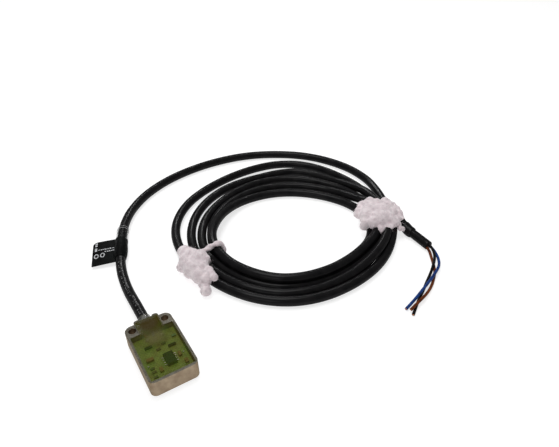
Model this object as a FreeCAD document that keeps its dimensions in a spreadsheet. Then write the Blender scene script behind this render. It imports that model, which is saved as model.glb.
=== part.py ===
import FreeCAD, Part
import math
import os

import Sketcher

# A flat, potted inductive proximity sensor with two fixing ears, its moulded-in cable, the tied coil of
# cable and the three bare wire ends.  Millimetres.  +Z is up (the potted side), +Y points to the cable end,
# +X runs across the body, and the origin is the bottom centre of the sensor's own box.

SIZES = (
    ("body_width", 20.0),
    ("body_length", 32.0),
    ("body_height", 8.0),
    ("neck_length", 1.3),
    ("neck_width", 10.6),
    ("neck_corner", 1.2),
    ("ear_length", 6.7),
    ("ear_step", 0.5),
    ("ear_corner", 3.0),
    ("front_corner", 2.5),
    ("side_wall", 1.0),
    ("end_wall", 1.2),
    ("lip_width", 0.8),
    ("floor_thickness", 1.0),
    ("channel_width", 9.2),
    ("hole_spacing", 14.0),
    ("hole_margin", 3.0),
    ("hole_diameter", 3.2),
    ("window_width", 14.0),
    ("window_length", 15.0),
    ("window_corner", 2.0),
    ("window_centre", -6.65),
    ("plate_flange", 1.0),
    ("flange_thickness", 0.6),
    ("resin_level", 7.6),
    ("board_width", 17.4),
    ("board_length", 23.0),
    ("board_thickness", 0.8),
    ("board_level", 4.6),
    ("core_diameter", 12.4),
    ("core_height", 2.7),
    ("core_shell", 1.1),
    ("core_back", 0.8),
    ("post_diameter", 4.8),
    ("post_bore", 1.6),
    ("bobbin_wall", 0.3),
    ("chip_width", 3.9),
    ("chip_length", 6.0),
    ("chip_height", 1.4),
    ("cable_diameter", 4.8),
    ("cable_axis", 4.0),
    ("cable_start", 14.2),
    ("gland_diameter", 5.8),
    ("gland_reach", 3.0),
    ("gland_top", 7.3),
    ("core_wire", 1.4),
)
SIZE = dict(SIZES)

# Heights above the surface on which the sensor and its cable lie.
CABLE_LOW = SIZE["cable_diameter"] / 2 + 0.05
WIRE_LOW = SIZE["core_wire"] / 2 + 0.05
GLAND_END = (SIZE["body_length"] + SIZE["neck_length"]) / 2 + SIZE["gland_reach"]

# The free lead, from the gland to the coil: out of the sensor, down to the surface, then round the back.
LEAD_ROUTE = (
    (0.0, GLAND_END, SIZE["cable_axis"]),
    (0.0, 30.0, SIZE["cable_axis"]),
    (-0.1, 43.0, CABLE_LOW),
    (2.3, 60.9, 3.35),
    (13.3, 92.0, 3.35),
    (23.4, 105.5, CABLE_LOW),
    (38.5, 117.7, CABLE_LOW),
    (58.4, 125.8, CABLE_LOW),
    (82.3, 128.9, CABLE_LOW),
    (106.8, 125.8, CABLE_LOW),
    (127.8, 115.6, CABLE_LOW),
    (144.1, 100.8, CABLE_LOW),
    (154.1, 80.3, CABLE_LOW),
    (155.9, 58.0, CABLE_LOW),
    (150.0, 40.0, CABLE_LOW),
)

# The tail, from the coil's outer side to the end of the jacket, with a sleeve over its first part.
TAIL_ROUTE = (
    (141.0, 24.0, 3.6),
    (141.2, 12.8, 3.4),
    (142.3, 2.4, 2.5),
    (142.0, -7.4, 2.5),
)
SLEEVE_ENDS = ((141.25, 12.0, 3.35), (142.0, 4.7, 3.1))
SLEEVE_WALL = 0.6

# The three wires beyond the jacket lie side by side, cross over one another and bend back towards the coil.
WIRE_ROUTES = {
    "brown": (
        (141.0, -7.4, 1.8),
        (140.4, -9.8, 1.4),
        (138.3, -13.3, 0.8),
        (135.4, -17.6, 0.8),
        (132.3, -21.8, WIRE_LOW),
        (128.2, -25.1, WIRE_LOW),
        (123.7, -28.2, WIRE_LOW),
        (118.4, -30.9, 1.3),
        (112.8, -33.0, 2.3),
        (107.4, -34.4, 2.4),
        (103.4, -35.2, 1.6),
    ),
    "blue": (
        (142.7, -7.4, 2.4),
        (142.2, -11.6, 1.8),
        (140.4, -16.0, 1.2),
        (137.6, -19.4, 1.2),
        (133.4, -22.3, 2.2),
        (127.9, -24.8, 2.4),
        (122.0, -27.2, 2.5),
        (114.9, -29.8, 2.7),
        (108.9, -31.6, 1.4),
        (102.5, -33.2, 0.8),
    ),
    "black": (
        (142.0, -7.4, 3.6),
        (140.7, -12.2, 3.0),
        (137.8, -15.9, 2.4),
        (134.1, -18.7, 2.45),
        (130.8, -20.9, 1.0),
        (126.7, -23.3, WIRE_LOW),
        (121.9, -26.0, WIRE_LOW),
        (117.8, -28.6, WIRE_LOW),
        (113.3, -31.0, WIRE_LOW),
        (109.7, -33.0, WIRE_LOW),
        (102.9, -37.4, WIRE_LOW),
    ),
}

# The coil lies between two ellipses whose long and short axes are turned from the row's own axes.
COIL_TURN = -31.7
COIL_OUTER = {"centre": (91.1, 50.5), "radii": (59.5, 64.7)}
COIL_INNER = {"centre": (89.0, 40.0), "radii": (39.8, 35.2)}
COIL_FRONT_HEIGHT = 9.6
COIL_INNER_DROP = 1.3
COIL_SLOPE = 1.9

# A block that covers everything lying on the surface, for trimming shapes: its size and its low corner.
SPREAD_BLOCK = (300.0, 300.0, 50.0)
SPREAD_CORNER = (-150.0, -60.0)
GROUND_GAP = 0.02

BAND_GAP = 0.2

# The string ties: each has a band over the bundle and a tuft of frayed ends.
TIES = {
    "left": {
        "band": {"centre": (40.5, 42.4), "across": 0.0, "length": 24.0, "width": 2.2, "top": 9.9},
        "tuft": {"centre": (31.6, 36.5, 6.0), "radii": (8.0, 16.5, 5.2), "turn": 0.0},
    },
    "right": {
        "band": {"centre": (131.7, 17.5), "across": -31.7, "length": 23.0, "width": 2.2, "top": 9.9},
        "tuft": {"centre": (130.5, 19.9, 9.0), "radii": (13.0, 11.0, 5.4), "turn": -31.7},
    },
}

# The printed label: a strip folded round the cable, with its free flag to one side.
LABEL = {"centre": (7.0, 74.1), "turn": 70.5, "length": 18.0, "reach": 10.0, "thickness": 0.4, "level": 2.1}
WRAP_BORE = 5.1
WRAP_WALL = 0.75
WRAP_LENGTH = 13.9
CLEAR_SLEEVE_LENGTH = 10.0
CLEAR_SLEEVE_WALL = 0.4

# The small parts of the electronics.
PIN_RADIUS = 0.3
PIN_HOLE = "0.7"
PIN_RISE = "0.5"
SOLDER_RADIUS = 1.05
CHIP_GAP = "0.1"
CHIP_BEVEL = 0.25
LEAD_FOOT = ("0.9", "0.42", "0.3")
CORE_SPREAD = 1.5
CORE_SLACK = 0.2


def add_sheet(doc):
    """The spreadsheet of driving dimensions."""
    sheet = doc.addObject("Spreadsheet::Sheet", "sizes")
    for row, (alias, value) in enumerate(SIZES, 1):
        sheet.set(f"A{row}", alias.replace("_", " "))
        sheet.set(f"B{row}", str(value))
        sheet.setAlias(f"B{row}", alias)
    return sheet


def plane(body, role):
    """One of a body's own origin planes, such as XY_Plane."""
    return next(f for f in body.Origin.OriginFeatures if f.Role == role)


def add_sketch(body, name, role, offset):
    """A sketch on an origin plane, moved by three expressions in the sketch's own axes."""
    sketch = body.newObject("Sketcher::SketchObject", name)
    sketch.AttachmentSupport = [(plane(body, role), "")]
    sketch.MapMode = "FlatFace"
    for axis, value in zip("xyz", offset):
        sketch.setExpression(f"AttachmentOffset.Base.{axis}", value)
    return sketch


def rectangle(body, name, width, length, offset=("0", "0", "0"), role="XY_Plane"):
    """A sketch of one rectangle about its own origin, with its sides bound to expressions."""
    sketch = add_sketch(body, name, role, offset)
    corners = [FreeCAD.Vector(x, y, 0) for x, y in ((-1, -1), (1, -1), (1, 1), (-1, 1))]
    for i in range(4):
        sketch.addGeometry(Part.LineSegment(corners[i], corners[(i + 1) % 4]), False)
    for i in range(4):
        sketch.addConstraint(Sketcher.Constraint("Coincident", i, 2, (i + 1) % 4, 1))
        sketch.addConstraint(Sketcher.Constraint("Vertical" if i % 2 else "Horizontal", i))
    sketch.addConstraint(Sketcher.Constraint("Symmetric", 0, 1, 1, 2, -1, 1))
    across = sketch.addConstraint(Sketcher.Constraint("DistanceX", 0, 1, 0, 2, 2.0))
    along = sketch.addConstraint(Sketcher.Constraint("DistanceY", 1, 1, 1, 2, 2.0))
    sketch.setExpression(f"Constraints[{across}]", width)
    sketch.setExpression(f"Constraints[{along}]", length)
    return sketch


def circle(body, name, diameter, offset=("0", "0", "0"), role="XY_Plane"):
    """A sketch of one circle about its own origin."""
    sketch = add_sketch(body, name, role, offset)
    sketch.addGeometry(Part.Circle(FreeCAD.Vector(), FreeCAD.Vector(0, 0, 1), 1.0), False)
    sketch.addConstraint(Sketcher.Constraint("Coincident", 0, 3, -1, 1))
    size = sketch.addConstraint(Sketcher.Constraint("Diameter", 0, 2.0))
    sketch.setExpression(f"Constraints[{size}]", diameter)
    return sketch


def profile(body, name, points, role="XZ_Plane"):
    """A closed sketch through points given as pairs of expressions: distances from the sketch's origin."""
    sketch = add_sketch(body, name, role, ("0", "0", "0"))
    doc = body.Document
    values = [[doc.sizes.evalExpression(e) for e in pair] for pair in points]
    corners = [FreeCAD.Vector(float(x), float(y), 0) for x, y in values]
    count = len(corners)
    for i in range(count):
        sketch.addGeometry(Part.LineSegment(corners[i], corners[(i + 1) % count]), False)
    for i in range(count):
        sketch.addConstraint(Sketcher.Constraint("Coincident", i, 2, (i + 1) % count, 1))
    for i, pair in enumerate(points):
        for kind, value, expression in zip(("DistanceX", "DistanceY"), corners[i][0:2], pair):
            number = sketch.addConstraint(Sketcher.Constraint(kind, -1, 1, i, 1, value))
            sketch.setExpression(f"Constraints[{number}]", expression)
    return sketch


def pad(body, sketch, height):
    """A pad of the sketch, upwards."""
    feature = body.newObject("PartDesign::Pad", f"{sketch.Name}_pad")
    feature.Profile = sketch
    feature.setExpression("Length", height)
    body.Document.recompute()
    return feature


def pocket(body, sketch, depth, reverse=False):
    """A pocket of the sketch that has to take material away."""
    before = body.Shape.Volume
    feature = body.newObject("PartDesign::Pocket", f"{sketch.Name}_pocket")
    feature.Profile = sketch
    feature.Reversed = reverse
    feature.setExpression("Length", depth)
    body.Document.recompute()
    if not feature.Shape.Volume < before - 1e-6:
        raise RuntimeError(f"{feature.Name} cuts nothing")
    return feature


def edges_where(shape, test):
    """Names of the straight edges whose two ends pass a test."""
    names = []
    for number, edge in enumerate(shape.Edges, 1):
        if len(edge.Vertexes) == 2 and test(edge.Vertexes[0].Point, edge.Vertexes[1].Point):
            names.append(f"Edge{number}")
    return names


def upright(low_y, high_y):
    """A test for upright edges whose Y lies in a range."""
    def test(a, b):
        return abs(a.z - b.z) > 0.5 and abs(a.x - b.x) < 1e-6 and low_y < a.y < high_y
    return test


def round_edges(body, feature, names, radius, label):
    """A fillet on named edges of a feature."""
    fillet = body.newObject("PartDesign::Fillet", label)
    fillet.Base = (feature, names)
    fillet.setExpression("Radius", radius)
    body.Document.recompute()
    return fillet


def new_body(doc, label):
    body = doc.addObject("PartDesign::Body", label)
    body.Label = label
    return body


FRONT = "-(sizes.body_length + sizes.neck_length) / 2"
EAR_REAR = "(sizes.body_length - sizes.neck_length) / 2"
NECK_REAR = "(sizes.body_length + sizes.neck_length) / 2"
LIP = f"({EAR_REAR} - sizes.ear_length)"
CAVITY_LENGTH = "(sizes.body_length - sizes.ear_length - sizes.end_wall)"
CAVITY_WIDTH = "(sizes.body_width - 2 * sizes.side_wall)"
CAVITY_CENTRE = f"({LIP} - {CAVITY_LENGTH} / 2)"
CHANNEL_END = f"({NECK_REAR} - sizes.end_wall)"
HOLE_LINE = f"({EAR_REAR} - sizes.hole_margin)"
PLATE_TOP = "(sizes.floor_thickness + sizes.flange_thickness)"


def make_housing(doc):
    """The die-cast cup: rounded corners, a potted cavity, two ears with fixing holes and a notched neck."""
    body = new_body(doc, "housing")
    outline = rectangle(body, "outline", "sizes.body_width", "sizes.body_length",
                        ("0", "-sizes.neck_length / 2", "0"))
    shell = pad(body, outline, "sizes.body_height")
    front_edges = edges_where(shell.Shape, upright(-99, 0))
    shell = round_edges(body, shell, front_edges, "sizes.front_corner", "front_corners")
    rear_edges = edges_where(shell.Shape, upright(9, 99))
    shell = round_edges(body, shell, rear_edges, "sizes.ear_corner", "ear_corners")
    neck = rectangle(body, "neck", "sizes.neck_width", "sizes.neck_length + 2",
                     ("0", f"{NECK_REAR} - (sizes.neck_length + 2) / 2", "0"))
    shell = pad(body, neck, "sizes.body_height")
    neck_y = (SIZE["body_length"] + SIZE["neck_length"]) / 2
    shell = round_edges(body, shell, edges_where(shell.Shape, upright(neck_y - 0.01, 99)),
                        "sizes.neck_corner", "neck_corners")
    cavity = rectangle(body, "cavity", CAVITY_WIDTH, CAVITY_LENGTH, ("0", CAVITY_CENTRE, "sizes.body_height"))
    pocket(body, cavity, "sizes.body_height - sizes.floor_thickness")
    channel = rectangle(body, "channel", "sizes.channel_width", f"{CHANNEL_END} - {LIP} + 2",
                        ("0", f"({CHANNEL_END} + {LIP} - 2) / 2", "sizes.body_height"))
    pocket(body, channel, "sizes.body_height - sizes.floor_thickness")
    for side, sign in (("left", "-1"), ("right", "1")):
        recess = rectangle(body, f"{side}_recess", "sizes.body_width", f"{EAR_REAR} - {LIP}",
                           (f"{sign} * (sizes.neck_width + sizes.body_width) / 2",
                            f"({EAR_REAR} + {LIP}) / 2 + sizes.lip_width", "sizes.body_height"))
        pocket(body, recess, "sizes.ear_step")
        hole_place = (f"{sign} * sizes.hole_spacing / 2", HOLE_LINE, "sizes.body_height")
        hole = circle(body, f"{side}_hole", "sizes.hole_diameter", hole_place)
        pocket(body, hole, "sizes.body_height + 1")
    bore_place = ("0", "sizes.cable_axis", f"-({NECK_REAR} + 1)")
    bore = circle(body, "cable_bore", "sizes.gland_diameter", bore_place, "XZ_Plane")
    pocket(body, bore, "sizes.end_wall + 1.5", True)
    notch = rectangle(body, "cable_notch", "sizes.gland_diameter", "sizes.end_wall + 2",
                      ("0", f"{NECK_REAR} - sizes.end_wall / 2", "sizes.body_height"))
    pocket(body, notch, "sizes.body_height - sizes.cable_axis")
    window = rectangle(body, "window", "sizes.window_width", "sizes.window_length",
                       ("0", "sizes.window_centre", "sizes.floor_thickness"))
    feature = pocket(body, window, "sizes.floor_thickness + 1")
    half_width = SIZE["window_width"] / 2

    def window_corner(a, b):
        return (abs(a.z - b.z) > 0.5 and abs(a.x - b.x) < 1e-6 and abs(abs(a.x) - half_width) < 1e-3
                and a.y < SIZE["window_length"] / 2 and min(a.z, b.z) < 0.01)
    corner_edges = edges_where(feature.Shape, window_corner)
    round_edges(body, feature, corner_edges, "sizes.window_corner", "window_corners")
    return body


def make_sensing_plate(doc):
    """The plastic sensing face in the base's window, with a flange that is glued inside."""
    body = new_body(doc, "sensing_face_plate")
    place = ("0", "sizes.window_centre", "0")
    face = pad(body, rectangle(body, "face", "sizes.window_width - 0.1", "sizes.window_length - 0.1", place),
               "sizes.floor_thickness")
    round_edges(body, face, edges_where(face.Shape, upright(-99, 99)), "sizes.window_corner", "face_corners")
    flange = rectangle(body, "flange", "sizes.window_width + 2 * sizes.plate_flange",
                       "sizes.window_length + 2 * sizes.plate_flange",
                       ("0", "sizes.window_centre", "sizes.floor_thickness"))
    pad(body, flange, "sizes.flange_thickness")
    return body


def turned(doc, label, points):
    """A body turned from a half profile about the coil's upright axis over the sensing plate."""
    body = new_body(doc, label)
    feature = body.newObject("PartDesign::Revolution", f"{label}_turn")
    feature.Profile = profile(body, f"{label}_profile", points)
    feature.ReferenceAxis = (next(f for f in body.Origin.OriginFeatures if f.Role == "Z_Axis"), [""])
    feature.Angle = 360
    body.setExpression("Placement.Base.y", "sizes.window_centre")
    body.setExpression("Placement.Base.z", PLATE_TOP)
    doc.recompute()
    return body


def make_ferrite_core(doc):
    """Half of a pot core, open towards the sensing face."""
    outer = "sizes.core_diameter / 2"
    inner = "sizes.core_diameter / 2 - sizes.core_shell"
    web = "sizes.core_height - sizes.core_back"
    return turned(doc, "ferrite_core", (
        ("sizes.post_bore / 2", "0"),
        ("sizes.post_diameter / 2", "0"),
        ("sizes.post_diameter / 2", web),
        (inner, web),
        (inner, "0"),
        (outer, "0"),
        (outer, "sizes.core_height"),
        ("sizes.post_bore / 2", "sizes.core_height"),
    ))


BOBBIN_IN = "sizes.post_diameter / 2"
BOBBIN_OUT = "sizes.core_diameter / 2 - sizes.core_shell"
BOBBIN_TOP = "sizes.core_height - sizes.core_back"


def make_coil_bobbin(doc):
    """The spool that carries the winding in the core's groove."""
    hub = f"{BOBBIN_IN} + sizes.bobbin_wall"
    return turned(doc, "coil_bobbin", (
        (BOBBIN_IN, "0"),
        (BOBBIN_OUT, "0"),
        (BOBBIN_OUT, "sizes.bobbin_wall"),
        (hub, "sizes.bobbin_wall"),
        (hub, f"{BOBBIN_TOP} - sizes.bobbin_wall"),
        (BOBBIN_OUT, f"{BOBBIN_TOP} - sizes.bobbin_wall"),
        (BOBBIN_OUT, BOBBIN_TOP),
        (BOBBIN_IN, BOBBIN_TOP),
    ))


def make_coil_winding(doc):
    """The copper winding as one ring between the bobbin's flanges."""
    hub = f"{BOBBIN_IN} + sizes.bobbin_wall"
    return turned(doc, "coil_winding", (
        (hub, "sizes.bobbin_wall"),
        (BOBBIN_OUT, "sizes.bobbin_wall"),
        (BOBBIN_OUT, f"{BOBBIN_TOP} - sizes.bobbin_wall"),
        (hub, f"{BOBBIN_TOP} - sizes.bobbin_wall"),
    ))


def add_box(doc, name, size, corner):
    """A box with its sizes and its low corner given as expressions."""
    box = doc.addObject("Part::Box", name)
    for key, value in zip(("Length", "Width", "Height"), size):
        box.setExpression(key, value)
    for axis, value in zip("xyz", corner):
        box.setExpression(f"Placement.Base.{axis}", value)
    return box


def centred_box(doc, name, size, centre, base):
    """A box standing on a level, centred on a point in plan."""
    width, length, height = size
    x, y = centre
    corner = (f"{x} - ({width}) / 2", f"{y} - ({length}) / 2", base)
    return add_box(doc, name, (width, length, height), corner)


def group(doc, label, members):
    """Several solids that make one node."""
    compound = doc.addObject("Part::Compound", label)
    compound.Label = label
    compound.Links = members
    return compound


BOARD_TOP = "sizes.board_level + sizes.board_thickness"
SOLDER_SPOTS = ((-2.9, 6.2), (0.0, 5.5), (2.9, 6.0))
COIL_PINS = ((-7.2, -6.65), (7.2, -6.65))


def make_circuit_board(doc):
    """The board, with holes for the coil's two pins."""
    body = new_body(doc, "circuit_board")
    outline = rectangle(body, "board", "sizes.board_width", "sizes.board_length",
                        ("0", CAVITY_CENTRE, "sizes.board_level"))
    pad(body, outline, "sizes.board_thickness")
    for number, (x, y) in enumerate(COIL_PINS):
        hole = circle(body, f"pin_hole_{number}", PIN_HOLE, (str(x), str(y), BOARD_TOP))
        pocket(body, hole, "sizes.board_thickness + 0.5")
    return body


def make_coil_pins(doc):
    """The two pins that carry the winding's ends up to the board."""
    pins = []
    for number, (x, y) in enumerate(COIL_PINS):
        pin = doc.addObject("Part::Cylinder", f"coil_pin_{number}")
        pin.Radius = PIN_RADIUS
        pin.setExpression("Height", f"{BOARD_TOP} + {PIN_RISE} - {PLATE_TOP}")
        pin.Placement.Base = FreeCAD.Vector(x, y, 0)
        pin.setExpression("Placement.Base.z", PLATE_TOP)
        pins.append(pin)
    return group(doc, "coil_pins", pins)


CHIP_PLACE = (1.4, -7.3)
CHIP_LEADS_PER_SIDE = 4
CHIP_LEAD_PITCH = 1.27


def make_sensor_chip(doc):
    """The oscillator and trigger circuit's moulded package."""
    chip = centred_box(doc, "chip_body", ("sizes.chip_width", "sizes.chip_length", "sizes.chip_height"),
                       CHIP_PLACE, f"{BOARD_TOP} + {CHIP_GAP}")
    doc.recompute()
    bevelled = doc.addObject("Part::Chamfer", "sensor_chip")
    bevelled.Label = "sensor_chip"
    bevelled.Base = chip
    top = chip.Shape.BoundBox.ZMax
    bevelled.Edges = [(number, CHIP_BEVEL, CHIP_BEVEL) for number, edge in enumerate(chip.Shape.Edges, 1)
                      if edge.BoundBox.ZMin > top - 0.01]
    return bevelled


def make_chip_leads(doc):
    """The gull-wing leads down both long sides of the chip."""
    leads = []
    for side in (-1, 1):
        for number in range(CHIP_LEADS_PER_SIDE):
            y = CHIP_PLACE[1] + (number - (CHIP_LEADS_PER_SIDE - 1) / 2) * CHIP_LEAD_PITCH
            x = CHIP_PLACE[0] + side * (SIZE["chip_width"] + float(LEAD_FOOT[0])) / 2
            name = f"chip_lead_{side + 1}_{number}"
            leads.append(centred_box(doc, name, LEAD_FOOT, (str(x), str(y)), BOARD_TOP))
    return group(doc, "chip_leads", leads)


COMPONENTS = {
    # node: (width, length, height, places in plan)
    "output_transistor": (2.9, 1.5, 1.0, ((-5.6, -4.0),)),
    "protection_diodes": (3.1, 0.9, 0.9, ((-4.1, 2.1), (4.6, -1.2))),
    "chip_capacitors": (1.3, 2.1, 1.0, ((5.6, -7.1), (-3.4, -10.6), (6.6, -11.6))),
    "chip_resistors": (1.7, 0.9, 0.5, ((-6.2, -8.3), (-6.2, -10.2), (-0.9, -0.6), (1.9, 1.4), (-6.4, -12.6))),
    "status_led": (1.7, 0.9, 0.8, ((7.0, 3.0),)),
}


def make_components(doc):
    """The small parts soldered to the board, one node for each kind."""
    nodes = []
    for label, (*size, places) in COMPONENTS.items():
        box_size = [str(value) for value in size]
        members = [centred_box(doc, f"{label}_{number}", box_size, place, BOARD_TOP)
                   for number, place in enumerate(places)]
        nodes.append(group(doc, label, members))
    return nodes


def make_solder_joints(doc):
    """A dome of solder for each of the cable's cores."""
    domes = []
    for number, (x, y) in enumerate(SOLDER_SPOTS):
        dome = doc.addObject("Part::Sphere", f"solder_dome_{number}")
        dome.Radius = SOLDER_RADIUS
        dome.Angle1 = 0
        dome.Placement.Base = FreeCAD.Vector(x, y, 0)
        dome.setExpression("Placement.Base.z", BOARD_TOP)
        domes.append(dome)
    return group(doc, "solder_joints", domes)


def rounded_path(points):
    """Straight runs joined by tangent arcs as large as the runs allow, with each arc's radius."""
    route = [FreeCAD.Vector(*p) for p in points]
    edges = []
    radii = []
    start = route[0]
    for before, corner, after in zip(route, route[1:], route[2:]):
        back = before - corner
        ahead = after - corner
        reach = 0.45 * min(back.Length, ahead.Length)
        half_turn = (math.pi - back.getAngle(ahead)) / 2
        radius = reach / math.tan(half_turn)
        first = corner + back.normalize() * reach
        last = corner + ahead.normalize() * reach
        inward = (back + ahead).normalize()
        middle = corner + inward * (radius / math.cos(half_turn) - radius)
        edges.append(Part.LineSegment(start, first).toShape())
        edges.append(Part.Arc(first, middle, last).toShape())
        radii.append(radius)
        start = last
    edges.append(Part.LineSegment(start, route[-1]).toShape())
    return Part.Wire(edges), radii


def swept_tube(label, points, diameter):
    """A round tube along a rounded path.  Its radii and its volume are printed."""
    path, radii = rounded_path(points)
    first = FreeCAD.Vector(*points[0])
    ring = Part.Wire(Part.Circle(first, FreeCAD.Vector(*points[1]) - first, diameter / 2).toShape())
    tube = path.makePipeShell([ring], True, False)
    expected = math.pi * diameter ** 2 / 4 * path.Length
    print(f"{label}: length {path.Length:.1f}, radii {' '.join(f'{r:.0f}' for r in radii)},"
          f" volume / expected {tube.Volume / expected:.4f}")
    return tube


def add_shape(doc, label, shape):
    """A node whose shape comes from Part's own functions."""
    feature = doc.addObject("Part::Feature", label)
    feature.Label = label
    feature.Shape = shape
    return feature


def make_core_ends(doc):
    """The three insulated cores between the jacket's end and their solder joints."""
    nodes = []
    start_y = SIZE["cable_start"]
    height = SIZE["cable_axis"]
    levels = (height - 0.4, height + 1.3, height - 0.4)
    top = SIZE["board_level"] + SIZE["board_thickness"] + SIZE["core_wire"] / 2
    offsets = (-1, 0, 1)
    for colour, offset, level, (x, y) in zip(("brown", "blue", "black"), offsets, levels, SOLDER_SPOTS):
        route = (
            (offset * CORE_SPREAD * 0.8, start_y, level),
            (offset * CORE_SPREAD, start_y - 2.6, (level + top) / 2 + 0.4),
            (x, y + 3.6, top + 0.35),
            (x, y + 1.0, top),
        )
        core = swept_tube(f"core_{colour}", route, SIZE["core_wire"] - CORE_SLACK)
        nodes.append(add_shape(doc, f"core_{colour}", core))
    return nodes


def make_cable_entry(doc):
    """The end of the jacket inside the housing and the gland."""
    entry = doc.addObject("Part::Cylinder", "cable_entry")
    entry.Label = "cable_entry"
    entry.setExpression("Radius", "sizes.cable_diameter / 2")
    entry.setExpression("Height", f"{NECK_REAR} + sizes.gland_reach - sizes.cable_start")
    entry.Placement.Rotation = FreeCAD.Rotation(FreeCAD.Vector(1, 0, 0), -90)
    entry.setExpression("Placement.Base.y", "sizes.cable_start")
    entry.setExpression("Placement.Base.z", "sizes.cable_axis")
    return entry


def make_cable_gland(doc, entry):
    """The clear collar that fills the neck's notch and grips the cable."""
    collar = doc.addObject("Part::Cylinder", "gland_collar")
    collar.setExpression("Radius", "sizes.gland_diameter / 2")
    collar.setExpression("Height", "sizes.end_wall + sizes.gland_reach")
    collar.Placement.Rotation = FreeCAD.Rotation(FreeCAD.Vector(1, 0, 0), -90)
    collar.setExpression("Placement.Base.y", CHANNEL_END)
    collar.setExpression("Placement.Base.z", "sizes.cable_axis")
    key_size = ("sizes.gland_diameter", "sizes.end_wall", "sizes.gland_top - sizes.cable_axis")
    key = add_box(doc, "gland_key", key_size, ("-sizes.gland_diameter / 2", CHANNEL_END, "sizes.cable_axis"))
    body = doc.addObject("Part::Fuse", "gland_body")
    body.Base = collar
    body.Tool = key
    gland = doc.addObject("Part::Cut", "cable_gland")
    gland.Label = "cable_gland"
    gland.Base = body
    gland.Tool = entry
    return gland


def make_potting_resin(doc, sealed):
    """The clear resin that fills the cavity and the channel round everything sealed inside."""
    depth = "sizes.resin_level - sizes.floor_thickness"
    cavity = centred_box(doc, "resin_cavity", (CAVITY_WIDTH, CAVITY_LENGTH, depth), ("0", CAVITY_CENTRE),
                         "sizes.floor_thickness")
    channel = add_box(doc, "resin_channel", ("sizes.channel_width", f"{CHANNEL_END} - {LIP} + 1", depth),
                      ("-sizes.channel_width / 2", f"{LIP} - 1", "sizes.floor_thickness"))
    block = doc.addObject("Part::Fuse", "resin_block")
    block.Base = cavity
    block.Tool = channel
    inside = doc.addObject("Part::MultiFuse", "sealed_inside")
    inside.Shapes = sealed
    resin = doc.addObject("Part::Cut", "potting_resin")
    resin.Label = "potting_resin"
    resin.Base = block
    resin.Tool = inside
    return resin


def ellipse_face(centre, radii, turn):
    """A flat face inside an ellipse whose first radius points along a turned axis."""
    ellipse = Part.Ellipse(FreeCAD.Vector(0, 0, 0), max(radii), min(radii))
    face = Part.Face(Part.Wire(ellipse.toShape()))
    if radii[1] > radii[0]:
        face.rotate(FreeCAD.Vector(), FreeCAD.Vector(0, 0, 1), 90)
    face.rotate(FreeCAD.Vector(), FreeCAD.Vector(0, 0, 1), turn)
    face.translate(FreeCAD.Vector(centre[0], centre[1], 0))
    return face


def make_coil(doc):
    """The tied coil as one ring: two layers high at its front, one layer at its back."""
    ring = ellipse_face(COIL_OUTER["centre"], COIL_OUTER["radii"], COIL_TURN)
    ring = ring.cut(ellipse_face(COIL_INNER["centre"], COIL_INNER["radii"], COIL_TURN))
    ring = ring.extrude(FreeCAD.Vector(0, 0, COIL_FRONT_HEIGHT))
    above = Part.makeBox(*SPREAD_BLOCK, FreeCAD.Vector(*SPREAD_CORNER, 0))
    above.rotate(FreeCAD.Vector(), FreeCAD.Vector(1, 0, 0), -COIL_SLOPE)
    above.rotate(FreeCAD.Vector(), FreeCAD.Vector(0, 0, 1), COIL_TURN)
    above.translate(FreeCAD.Vector(*COIL_INNER["centre"], COIL_FRONT_HEIGHT - COIL_INNER_DROP))
    return add_shape(doc, "cable_coil", ring.cut(above).Solids[0])


def make_free_cable(doc, coil):
    """The lead up to the coil and the tail beyond it, cut where they meet the coil."""
    lead = swept_tube("cable_lead", LEAD_ROUTE, SIZE["cable_diameter"]).cut(coil.Shape)
    tail = swept_tube("cable_tail", TAIL_ROUTE, SIZE["cable_diameter"]).cut(coil.Shape)
    first, last = (FreeCAD.Vector(*p) for p in SLEEVE_ENDS)
    radius = SIZE["cable_diameter"] / 2 + SLEEVE_WALL
    sleeve = Part.makeCylinder(radius, (last - first).Length, first, last - first)
    sleeve = sleeve.cut(swept_tube("tail in its sleeve", TAIL_ROUTE, SIZE["cable_diameter"]))
    above_ground = Part.makeBox(*SPREAD_BLOCK, FreeCAD.Vector(*SPREAD_CORNER, GROUND_GAP))
    sleeve = sleeve.cut(coil.Shape).common(above_ground)
    nodes = [add_shape(doc, "cable_lead", largest(lead)), add_shape(doc, "cable_tail", largest(tail))]
    nodes.append(add_shape(doc, "tail_sleeve", largest(sleeve)))
    return nodes


def largest(shape):
    """The largest solid of a shape: what a cut leaves on its near side."""
    return max(shape.Solids, key=lambda solid: solid.Volume)


def make_wires(doc):
    """The three insulated wires beyond the jacket's end."""
    return [add_shape(doc, f"wire_{colour}", swept_tube(f"wire_{colour}", route, SIZE["core_wire"]))
            for colour, route in WIRE_ROUTES.items()]


def label_placement(across, along, up):
    """A placement in the label's own frame: X along the cable, Y away from it."""
    turn = FreeCAD.Rotation(FreeCAD.Vector(0, 0, 1), LABEL["turn"])
    offset = turn.multVec(FreeCAD.Vector(along, across, 0))
    return FreeCAD.Placement(FreeCAD.Vector(LABEL["centre"][0], LABEL["centre"][1], up) + offset, turn)


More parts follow.
